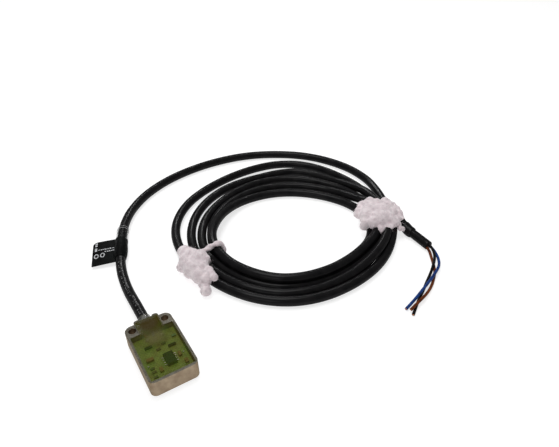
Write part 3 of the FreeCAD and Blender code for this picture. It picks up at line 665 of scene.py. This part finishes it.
def make_cable():
    """The cable from the collar to the cut end of its jacket, in place of the CAD's plain solids."""
    line = resampled(cable_line, CABLE_STEP)
    ahead = (line[-1] - line[-2]).normalized()
    line.insert(-1, line[-1] - ahead * CUT_EDGE)
    total = length_of(line)
    mesh = mesh_from(tube(line, cable_radius(total), 24), "cable")
    solids = ("cable_entry", "cable_lead", "cable_coil", "cable_tail")
    return add_piece("cable", mesh, JACKET, solids), line, total


WIRE_D = 1.4 * MM
WIRE_STEP = 0.5 * MM
WIRE_LOW = 0.75            # height of a wire's centre on the surface, in mm
STRAND_R = 0.13 * MM
STRANDS_APART = 0.27 * MM
WIRE_ROUTES = {
    "brown": ((141.3, -4.4, 1.9), (141.0, -7.4, 1.8), (140.4, -9.8, 1.4), (138.3, -13.3, 0.8),
              (135.4, -17.6, 0.8), (132.3, -21.8, WIRE_LOW), (128.2, -25.1, WIRE_LOW),
              (123.7, -28.2, WIRE_LOW), (118.4, -30.9, 1.3), (112.8, -33.0, 2.3), (107.4, -34.4, 2.4),
              (103.4, -35.2, 1.6)),
    "blue": ((142.8, -4.4, 2.4), (142.7, -7.4, 2.4), (142.2, -11.6, 1.8), (140.4, -16.0, 1.2),
             (137.6, -19.4, 1.2), (133.4, -22.3, 2.2), (127.9, -24.8, 2.4), (122.0, -27.2, 2.5),
             (114.9, -29.8, 2.7), (108.9, -31.6, 1.4), (102.5, -33.2, 0.8)),
    "black": ((142.0, -4.4, 3.5), (142.0, -7.4, 3.6), (140.7, -12.2, 3.0), (137.8, -15.9, 2.4),
              (134.1, -18.7, 2.45), (130.8, -20.9, 1.0), (126.7, -23.3, WIRE_LOW),
              (121.9, -26.0, WIRE_LOW), (117.8, -28.6, WIRE_LOW), (113.3, -31.0, WIRE_LOW),
              (109.7, -33.0, WIRE_LOW), (102.9, -37.4, WIRE_LOW)),
}
WIRE_MATERIALS = {"brown": BROWN, "blue": BLUE, "black": BLACK}


def make_strands(line):
    """The copper strands in a wire's cut end: one in the middle and six round it."""
    at, side, other, ahead = frames_along(line)[-1]
    bm = bmesh.new()
    for k in range(7):
        angle = math.pi * k / 3
        offset = (side * math.cos(angle) + other * math.sin(angle)) * (STRANDS_APART if k else 0)
        reach = (0.10 + 0.05 * (k % 3)) * MM
        merge(bm, tube([at + offset - ahead * 0.3 * MM, at + offset + ahead * reach], STRAND_R, 10))
    return bm


def make_wires():
    """The three insulated wires, each with its strands in the cut end."""
    for name, route in WIRE_ROUTES.items():
        line = resampled(nurbs_line(f"wire_{name}_line", route, 12), WIRE_STEP)
        mesh = mesh_from(tube(line, WIRE_D / 2, 16), f"wire_{name}")
        wire = add_piece(f"insulated_{name}", mesh, WIRE_MATERIALS[name], (f"wire_{name}",))
        strands = mesh_from(make_strands(line), f"strands_{name}")
        ends = add_piece(f"strands_{name}", strands, COPPER)


SLEEVE_ENDS = (Vector((141.3, 11.8, 3.8)) * MM, Vector((141.9, 4.7, 2.8)) * MM)


def stretch_of(line, first, last):
    """The stretch of a line between the points nearest to two places."""
    a, b = sorted((nearest_index(line, first), nearest_index(line, last)))
    return line[a:b + 1]


def make_tail_sleeve(line):
    """A thin black sleeve near the tail's start, a little wider than the cable, with rolled-in ends."""
    stretch = resampled(stretch_of(line, *SLEEVE_ENDS), 0.35 * MM)

    def radius(share, angle):
        rolled_in = 0.34 * math.exp(-min(share, 1 - share) / 0.05)
        return CABLE_R + (0.58 - rolled_in + 0.05 * math.sin(3 * angle + 9 * share)) * MM
    bm = tube(stretch, radius, 28)
    keep_above(bm)
    mesh = mesh_from(bm, "shrink_sleeve")
    add_piece("shrink_sleeve", mesh, JACKET, ("tail_sleeve",))


# ------------------------------------------------------------------- the label

LABEL_AT = Vector((7.0, 74.1, 3.2)) * MM
LABEL_LENGTH = 18.4 * MM
LABEL_REACH = 12.0 * MM
WRAP_START, WRAP_END = -9.2 * MM, 4.8 * MM
SLEEVE_END = 15.0 * MM
FLAG_AT = Vector((4.55, 73.6, 0)) * MM
FLAG_ALONG = Vector((math.cos(math.radians(71.3)), math.sin(math.radians(71.3)), 0))
FLAG_AWAY = Vector((math.cos(math.radians(162.6)), math.sin(math.radians(162.6)), 0))
FILM = 0.32 * MM
CORNER = 2.6 * MM
RIM_SHARES = (0.02, 0.80, 0.97)
RIM_SIDES = 40
PRINT_LIFT = 0.04 * MM
PRINTED = (7 * MM, 46 * MM)        # from where to where the cable itself is printed
PRINT_STEP = 0.2 * MM


def label_stretch(line, start, end):
    """The cable's line between two distances along it from the label's middle, finely spaced."""
    middle = nearest_index(line, LABEL_AT)
    fine = resampled(line[middle - 14:middle + 15], 0.3 * MM)
    centre = nearest_index(fine, LABEL_AT)
    step = length_of(fine) / (len(fine) - 1)
    return fine[centre + round(start / step):centre + round(end / step) + 1]


def wrap_radius(share, angle):
    """The film's fold round the cable: slack, drawn in at the sensor's end and softly creased."""
    drawn_in = 0.62 * math.exp(-(share / 0.16) ** 2) + 0.10 * math.exp(-((1 - share) / 0.05) ** 2)
    crease = 0.09 * math.sin(2 * angle + 5 * share) + 0.05 * math.sin(5 * angle - 11 * share)
    return (3.34 - drawn_in + crease) * MM


def sleeve_radius(share, angle):
    """The clear sleeve bulges three times and narrows a little away from the label."""
    rib = abs(math.sin(math.pi * 3 * share)) ** 0.7
    return (2.92 - 0.25 * share + 0.24 * rib + 0.05 * math.sin(3 * angle + 7 * share)) * MM


def flag_point(u, v, lift):
    """A point on the flag, u along the cable and v away from it, in metres; it droops and waves."""
    share = v / LABEL_REACH
    height = (2.6 - 0.7 * share ** 1.3 + 0.30 * share * math.sin(u / (5.2 * MM) + 0.6)) * MM
    return FLAG_AT + FLAG_ALONG * u + FLAG_AWAY * v + UP * (height + lift)


def make_flag():
    """The two films of the flag, stuck together, with one rounded corner."""
    bm = bmesh.new()
    along, across = 36, 22
    grid = []
    for i in range(along + 1):
        row = []
        for j in range(across + 1):
            u = LABEL_LENGTH * (i / along - 0.5)
            v = LABEL_REACH * j / across
            over_u, over_v = u - (LABEL_LENGTH / 2 - CORNER), v - (LABEL_REACH - CORNER)
            if over_u > 0 and over_v > 0:
                longest = max(over_u, over_v)
                scale = longest / math.hypot(over_u, over_v)
                u = LABEL_LENGTH / 2 - CORNER + over_u * scale
                v = LABEL_REACH - CORNER + over_v * scale
            row.append(bm.verts.new(flag_point(u, v, 0)))
        grid.append(row)
    for a, b in zip(grid, grid[1:]):
        for j in range(across):
            bm.faces.new((a[j], b[j], b[j + 1], a[j + 1]))
    bmesh.ops.recalc_face_normals(bm, faces=bm.faces)
    bmesh.ops.solidify(bm, geom=bm.faces[:], thickness=FILM)
    keep_above(bm)
    return bm


def add_patch(bm, centre_u, length, v0, v1, steps):
    """A small printed patch that follows the flag in a few steps, sizes in mm."""
    rows = []
    for i in range(steps + 1):
        u = centre_u - length / 2 + length * i / steps
        rows.append([bm.verts.new(flag_point(u * MM, v * MM, PRINT_LIFT)) for v in (v0, v1)])
    for a, b in zip(rows, rows[1:]):
        bm.faces.new((a[0], b[0], b[1], a[1]))


def add_ring(bm, centre_u, centre_v):
    """A plain printed ring, stretched along the cable, sizes in mm."""
    ring = []
    for k in range(24):
        angle = 2 * math.pi * k / 24
        for r in (1.15, 0.75):
            u = centre_u + 1.5 * r * math.cos(angle)
            v = centre_v + r * math.sin(angle)
            ring.append(bm.verts.new(flag_point(u * MM, v * MM, PRINT_LIFT)))
    for k in range(0, 48, 2):
        n = (k + 2) % 48
        bm.faces.new((ring[k], ring[n], ring[n + 1], ring[k + 1]))


def make_flag_print():
    """Generic marks: three in a column by the free edge, two short rows of dashes, and two plain rings."""
    bm = bmesh.new()
    for u, length in ((7.6, 1.4), (5.9, 1.2), (2.7, 2.6)):
        add_patch(bm, u, length, 9.8, 10.9, 3)
    chance = random.Random(4)
    for u, first, last in ((2.2, 1.4, 8.6), (0.3, 1.3, 5.4)):
        v = first
        while v < last:
            width = chance.uniform(0.35, 0.8)
            tall = chance.uniform(0.5, 0.95)
            add_patch(bm, u, tall, v, v + width, 2)
            v += width + chance.uniform(0.2, 0.4)
    add_ring(bm, -2.3, 10.0)
    add_ring(bm, -2.1, 7.0)
    return bm


def make_rim_highlights(stretch):
    """The thin pale rings where the clear sleeve grips: a painted highlight on the film's edges."""
    rim_highlights = bmesh.new()
    ahead = (stretch[-1] - stretch[0]).normalized()
    across = ahead.cross(UP).normalized()
    for share in RIM_SHARES:
        at = stretch[min(len(stretch) - 2, round(share * (len(stretch) - 1)))]
        circle = []
        for k in range(RIM_SIDES):
            angle = 2 * math.pi * k / RIM_SIDES
            r = sleeve_radius(share, angle) + 0.05 * MM
            circle.append(at + (across * math.cos(angle) + UP * math.sin(angle)) * r)
        merge(rim_highlights, tube(circle, 0.11 * MM, 8, closed=True))
    keep_above(rim_highlights)
    return rim_highlights


def make_label(line):
    """The label's fold and flag with its print, and the clear sleeve beside it with pale rings where it
    grips, a painted highlight.
    """
    wrap = tube(label_stretch(line, WRAP_START, WRAP_END), wrap_radius, 40)
    keep_above(wrap)
    stretch = label_stretch(line, WRAP_END - 0.2 * MM, SLEEVE_END)
    sleeve = tube(stretch, sleeve_radius, 36, caps=False)
    keep_above(sleeve)
    for name, bm, material, slot, replaced in (
            ("label_fold", wrap, LABEL_FILM, "label_black", ("label_wrap",)),
            ("flag", make_flag(), LABEL_FILM, "label_black", ("label_flag",)),
            ("flag_print", make_flag_print(), INK, "label_black", ()),
            ("clear_sleeve", sleeve, CLEAR_FILM, "sleeve_clear", ("label_sleeve",)),
            ("sleeve_rim_highlights", make_rim_highlights(stretch), PAINTED_RIM_HIGHLIGHT, "sleeve_clear", ())):
        add_piece(name, mesh_from(bm, name), material, replaced)


def make_cable_print(line):
    """Faint generic print on the jacket between the sensor and the label: short ticks in two rows."""
    bm = bmesh.new()
    chance = random.Random(11)
    fine = resampled(line[:60], PRINT_STEP)
    at, end = PRINTED
    while at < end:
        i = round(at / PRINT_STEP)
        for row in (-1, 1):
            if chance.random() < 0.3:
                continue
            centre = math.radians(-6 + 14 * row + chance.uniform(-3, 3))
            half = math.radians(chance.uniform(4, 8))
            long = chance.choice((2, 3, 4))
            corners = []
            for k in (0, long):
                place = fine[i + k]
                ahead = (fine[i + k + 1] - place).normalized()
                across = ahead.cross(UP).normalized()
                painted_light_by_facing = across.cross(ahead)
                for angle in (centre - half, centre + half):
                    out = painted_light_by_facing * math.cos(angle) + across * math.sin(angle)
                    corners.append(bm.verts.new(place + out * (CABLE_R + 0.05 * MM)))
            bm.faces.new((corners[0], corners[1], corners[3], corners[2]))
        at += chance.uniform(0.9, 1.5) * MM
    piece = add_piece("cable_print", mesh_from(bm, "cable_print"), FAINT_INK)


# ------------------------------------------------------------- the string ties

YARN_R = 1.3 * MM
YARN_OFF = 0.7 * MM        # how far its middle stands off the strands
YARN_FLAT = 0.52 * MM      # its radius where it is pressed flat
PLY_PITCH = 1.5 * MM
PLUMP = 1.12               # the lobes are laid out by their middles and swell into each other
LUMP_GRID = 0.32 * MM
FIBRES = 260
FIBRE_R = 0.035 * MM
TIES = {
    "left": {"at": (43.0, 42.4), "across": 176.0, "reach": 12, "tuft": (
        (31.4, 48.9, 7, 3.0), (32.7, 41.8, 9, 3.6), (35.3, 38.0, 10.3, 3.2), (36.8, 35.8, 9, 2.5),
        (29.6, 42.6, 6, 3.4), (31.4, 36.9, 7.5, 4.0), (33.8, 33.0, 8, 3.0), (27.2, 42.9, 3.4, 2.4),
        (29.0, 37.1, 4, 3.0), (31.1, 31.2, 5, 3.3), (35.2, 29.5, 7.5, 2.3), (35.3, 26.6, 7.6, 2.1),
        (35.6, 23.8, 8, 1.8), (31.4, 26.5, 3.5, 2.6), (30.4, 22.3, 3, 2.4), (31.6, 45.4, 7.6, 3.6),
        (31.4, 41.6, 6.4, 4.9), (31.8, 36.4, 6.2, 5.2), (31.8, 31.2, 5.4, 4.2), (33.6, 37.6, 7.4, 4.6),
        (32.8, 27.6, 5.4, 3.0))},
    "right": {"at": (130.9, 17.1), "across": -32.0, "reach": 9, "tuft": (
        (122.7, 26.9, 9, 2.4), (129.3, 31.7, 9, 2.6), (135.0, 31.9, 9.5, 2.6), (137.7, 29.1, 9.5, 2.4),
        (138.3, 23.3, 10, 2.5), (138.4, 17.7, 10, 2.5), (138.4, 13.5, 8, 2.0), (135.8, 7.8, 6, 1.2),
        (129.0, 10.0, 8, 1.9), (124.7, 10.6, 8, 2.0), (123.5, 14.8, 9, 2.2), (123.8, 21.9, 10.6, 3.2),
        (128.6, 21.3, 10.8, 3.4), (129.8, 16.3, 10.8, 3.4), (133.2, 13.5, 9.6, 3.0),
        (121.3, 19.8, 6, 2.2), (124.4, 16.2, 10.2, 3.0), (121.7, 19.1, 8.6, 2.8),
        (133.5, 24.5, 10.4, 3.6), (127.4, 22.6, 9.0, 5.4), (131.4, 26.6, 8.6, 5.2),
        (133.4, 20.4, 8.8, 5.4), (127.8, 17.0, 9.0, 5.2), (132.6, 14.8, 8.4, 4.0),
        (137.0, 10.6, 6.6, 1.6), (138.4, 8.6, 4.6, 1.4), (126.4, 11.6, 8, 1.7), (131.4, 10.4, 8, 1.7),
        (125.6, 29.2, 9, 2.2), (132.2, 32.6, 9, 2.0), (145.2, 29.2, 6.4, 2.1), (144.0, 25.6, 6.6, 2.3),
        (142.3, 21.6, 7, 2.4), (140.6, 17.5, 7, 2.4), (139.4, 14.4, 6.4, 2.0), (140.6, 27.6, 7.6, 3.2),
        (139.4, 21.4, 8, 3.4), (133.0, 15.0, 9.6, 3.6), (134.6, 11.8, 8.6, 2.6), (145.6, 25.4, 7, 2.1),
        (143.9, 20.6, 7.6, 2.4), (142.4, 16.6, 7.6, 2.4), (141.6, 13.6, 6.6, 1.8),
        (142.6, 28.4, 8.8, 2.5), (142.4, 24.2, 8.8, 2.5), (146.4, 29.6, 6.4, 1.9),
        (143.9, 23.0, 8.2, 2.2))},
}


def crossings(line, at, across, reach):
    """Where a line crosses the upright plane through `at` along `across`: (distance along, height)."""
    normal = Vector((-across.y, across.x, 0))
    found = []
    for a, b in zip(line, line[1:]):
        near, far = (a - at).dot(normal), (b - at).dot(normal)
        if near * far < 0:
            place = a.lerp(b, near / (near - far))
            along = (place - at).dot(across)
            if abs(along) < reach:
                found.append((along, place.z))
    return found


def hull_of(points):
    """The convex hull of 2-D points, anticlockwise."""
    points = sorted(set(points))
    chains = []
    for order in (points, points[::-1]):
        chain = []
        for p in order:
            while len(chain) > 1:
                (ax, ay), (bx, by) = chain[-2], chain[-1]
                if (bx - ax) * (p[1] - ay) - (by - ay) * (p[0] - ax) > 0:
                    break
                chain.pop()
            chain.append(p)
        chains.append(chain[:-1])
    return chains[0] + chains[1]


def yarn_loop(line, tie):
    """The closed line of the yarn round all the cable's strands at a tie."""
    at = Vector((*tie["at"], 0)) * MM
    turn = math.radians(tie["across"])
    across = Vector((math.cos(turn), math.sin(turn), 0))
    rim = []
    for along, height in crossings(line, at, across, tie["reach"] * MM):
        for k in range(32):
            angle = 2 * math.pi * k / 32
            out = CABLE_R + (YARN_OFF if math.sin(angle) > 0.3 else YARN_FLAT)
            rim.append((along + out * math.cos(angle), max(height + out * math.sin(angle), YARN_FLAT)))
    loop = [at + across * x + UP * z for x, z in hull_of(rim)]
    return resampled(loop + loop[:1], 0.3 * MM)[:-1]


def make_band(side, line, tie):
    """The yarn round the bundle: two twisted plies, pressed flat where it runs under the strands."""
    loop = yarn_loop(line, tie)
    total = length_of(loop)

    def radius(share, angle):
        height = loop[round(share * (len(loop) - 1))].z
        full = min(1, max(0, (height - 2.6 * MM) / (3.4 * MM)))
        ply = 1 + 0.2 * full * math.cos(2 * (angle - share * total / PLY_PITCH))
        fluff = 0.10 * MM * full * noise.noise(Vector((share * 90, angle * 2, 3)))
        return (YARN_FLAT + (YARN_R - YARN_FLAT) * full) * ply + fluff
    bm = tube(loop, radius, 20, closed=True)
    keep_above(bm)
    mesh = mesh_from(bm, f"yarn_{side}")
    return add_piece(f"yarn_{side}", mesh, COTTON, (f"tie_{side}_band",))


def make_lump(name, lobes):
    """One soft lump from many overlapping lobes: joined on a fine grid, then made woolly."""
    bm = bmesh.new()
    for x, y, z, r in lobes:
        place = Matrix.Translation(Vector((x, y, z)) * MM)
        bmesh.ops.create_icosphere(bm, subdivisions=3, radius=r * PLUMP * MM, matrix=place)
    raw = bpy.data.meshes.new(f"{name}_lobes")
    bm.to_mesh(raw)
    bm.free()
    holder = new_object(f"{name}_lobes", raw)
    remesh = holder.modifiers.new("join", "REMESH")
    remesh.mode = "VOXEL"
    remesh.voxel_size = LUMP_GRID
    soften = holder.modifiers.new("soften", "SMOOTH")
    soften.factor = 0.5
    soften.iterations = 24
    bpy.context.view_layer.update()
    mesh = bpy.data.meshes.new_from_object(holder.evaluated_get(bpy.context.evaluated_depsgraph_get()))
    bpy.data.objects.remove(holder)
    bpy.data.meshes.remove(raw)
    mesh.name = name
    moved = []
    for vert in mesh.vertices:
        ridge = noise.fractal(vert.co / (2.6 * MM), 0.8, 2.0, 3)
        fine = noise.fractal(vert.co / (0.7 * MM), 0.9, 2.0, 2)
        place = vert.co + vert.normal * (0.30 * ridge + 0.10 * fine) * MM
        moved.extend((place.x, place.y, max(place.z, 0.05 * MM)))
    mesh.vertices.foreach_set("co", moved)
    mesh.update()
    return mesh


def make_fibres(name, mesh, seed):
    """Loose fibres that stand off a tuft, each a thin bent three-sided hair."""
    chance = random.Random(seed)
    bm = bmesh.new()
    corners = [v for v in mesh.vertices if v.co.z > 0.8 * MM]
    for _ in range(FIBRES):
        vert = chance.choice(corners)
        lean = Vector([chance.uniform(-1, 1) for _ in range(3)])
        out = (vert.normal + lean * 0.8).normalized()
        bend = out.cross(lean).normalized()
        length = chance.uniform(0.7, 1.9) * MM
        line = []
        for k in range(5):
            t = k / 4
            line.append(vert.co + out * length * t + bend * length * 0.45 * t * t - vert.normal * 0.05 * MM)
        if min(p.z for p in line) < 0.1 * MM:
            continue
        merge(bm, tube(line, lambda share, angle: FIBRE_R * (1.1 - share), 3))
    return mesh_from(bm, name)


def make_ties(line):
    """Both ties: the yarn round the strands, the frayed tuft and its loose fibres."""
    for seed, (side, tie) in enumerate(TIES.items()):
        band = make_band(side, line, tie)
        mesh = make_lump(f"tuft_{side}", tie["tuft"])
        tuft = add_piece(f"tuft_{side}", mesh, COTTON, (f"tie_{side}_tuft",))
        fibres = make_fibres(f"fibres_{side}", mesh, seed)
        hair = add_piece(f"fibres_{side}", fibres, COTTON)


# ----------------------------------------------------------- the potting resin

RESIN_TOP = 7.6
RESIN_UNDER = 7.05
RESIN_CELL = 0.3
# Half width, front and rear of the well and of its channel.
POCKETS = ((9.0, -15.45, 7.85), (4.6, 0.0, 15.45))
INTO_WALL = 0.6            # how far the resin runs over the walls
CLIMB = 0.44               # how far it climbs at them


def inside_pockets(x, y):
    """Distance from the well's wall, in mm; negative in the wall."""
    return max(min(half - abs(x), y - front, rear - y) for half, front, rear in POCKETS)


def make_resin():
    """The resin's top layer, poured to the brim: it climbs the walls and runs a little way over them."""
    bm = bmesh.new()
    verts = {}

    def corner(i, j, top):
        if (i, j, top) not in verts:
            x, y = i * RESIN_CELL, j * RESIN_CELL
            wall = max(0.0, inside_pockets(x, y))
            dip = 0.05 * noise.noise(Vector((x / 4, y / 4, 0)))
            surface = RESIN_TOP + CLIMB * math.exp(-wall / 0.9) + dip * min(1, wall)
            z = surface if top else RESIN_UNDER
            verts[(i, j, top)] = bm.verts.new(Vector((x, y, z)) * MM)
        return verts[(i, j, top)]
    cells = {(i, j) for i in range(-34, 34) for j in range(-56, 56)
             if inside_pockets((i + 0.5) * RESIN_CELL, (j + 0.5) * RESIN_CELL) > -INTO_WALL}
    for i, j in cells:
        bm.faces.new([corner(i + a, j + b, True) for a, b in ((0, 0), (1, 0), (1, 1), (0, 1))])
        bm.faces.new([corner(i + a, j + b, False) for a, b in ((0, 0), (0, 1), (1, 1), (1, 0))])
        for step, (a, b) in (((-1, 0), ((0, 0), (0, 1))), ((1, 0), ((1, 1), (1, 0))),
                             ((0, -1), ((1, 0), (0, 0))), ((0, 1), ((0, 1), (1, 1)))):
            if (i + step[0], j + step[1]) not in cells:
                bm.faces.new((corner(i + a[0], j + a[1], True), corner(i + b[0], j + b[1], True),
                              corner(i + b[0], j + b[1], False), corner(i + a[0], j + a[1], False)))
    add_piece("resin_layer", mesh_from(bm, "resin_layer"), RESIN, ("potting_resin",))


cable, cable_points, cable_length = make_cable()
make_wires()
make_tail_sleeve(cable_points)
make_label(cable_points)
make_cable_print(cable_points)
make_ties(cable_points)
make_resin()

# ------------------------------------------------------------- floor and light


def make_floor():
    """A plain white table that glows a little, as in a light tent."""
    bm = bmesh.new()
    bmesh.ops.create_grid(bm, x_segments=1, y_segments=1, size=3)
    mesh = bpy.data.meshes.new("table")
    bm.to_mesh(mesh)
    bm.free()
    floor = new_object("table", mesh)
    floor.location.z = -0.2 * MM
    material = new_material("table_white", grey(0.42), 0.8, Emission_Strength=0.72,
                            Emission_Color=(1, 1, 1, 1))
    mesh.materials.append(material)


def add_light(name, place, target, size, power):
    """A rectangular lamp that faces a target."""
    data = bpy.data.lights.new(name, "AREA")
    data.shape = "RECTANGLE"
    data.size, data.size_y = size
    data.energy = power
    light = new_object(name, data)
    light.location = Vector(place)
    light.rotation_euler = (Vector(target) - light.location).to_track_quat("-Z", "Y").to_euler()


def make_light():
    """Soft light from above and the front, a thin bright strip behind, and a pale surround."""
    add_light("overhead", (0.02, 0.12, 0.75), (0.07, 0.05, 0), (0.5, 0.35), 3.0)
    add_light("back", (0.30, 0.75, 0.60), (0.08, 0.03, 0), (0.6, 0.03), 2.2)
    add_light("front_left", (-0.55, -0.45, 0.45), (0.05, 0.02, 0), (0.4, 0.4), 0.8)
    world = bpy.data.worlds.new("world")
    bpy.context.scene.world = world
    world.use_nodes = True
    background = world.node_tree.nodes["Background"]
    background.inputs["Color"].default_value = (1, 1, 1, 1)
    background.inputs["Strength"].default_value = 0.25
    bpy.context.scene.view_settings.view_transform = "Standard"


make_floor()
make_light()
